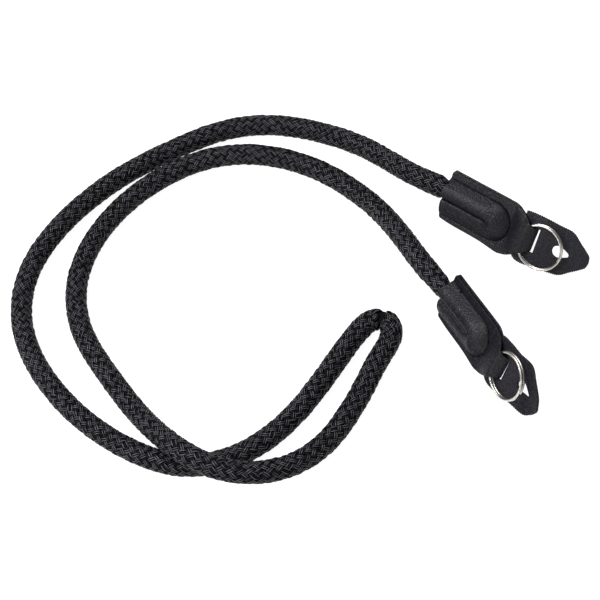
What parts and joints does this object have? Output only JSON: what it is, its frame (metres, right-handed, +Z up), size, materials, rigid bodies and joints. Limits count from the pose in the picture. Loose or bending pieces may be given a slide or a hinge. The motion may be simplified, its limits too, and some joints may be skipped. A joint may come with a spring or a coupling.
{
  "type": "camera neck strap",
  "caption": "Braided rope neck strap with a stitched leather tab, a leather guard flap and a split ring at each end, lying in loose loops.",
  "frame": {"origin": "on the plane that the strap lies on, under the middle of the box of the two leather ends and their rings", "axes": "+Z up from that plane, +X across the picture to the right, +Y away from the camera"},
  "size_m": [0.2165, 0.1675, 0.0219],
  "materials": {
    "braided_nylon": "black braided nylon yarn",
    "grained_leather": "black, fine pebble grain, satin",
    "matte_leather": "black, matte, fine texture",
    "nickel": "bright nickel plate on steel wire"
  },
  "bodies": {
    "root": {"rope": "braided_nylon", "tab_leather_a": "grained_leather", "guard_flap_a": "matte_leather", "split_ring_a": "nickel", "tab_leather_b": "grained_leather", "guard_flap_b": "matte_leather", "split_ring_b": "nickel"}
  },
  "joints": []
}
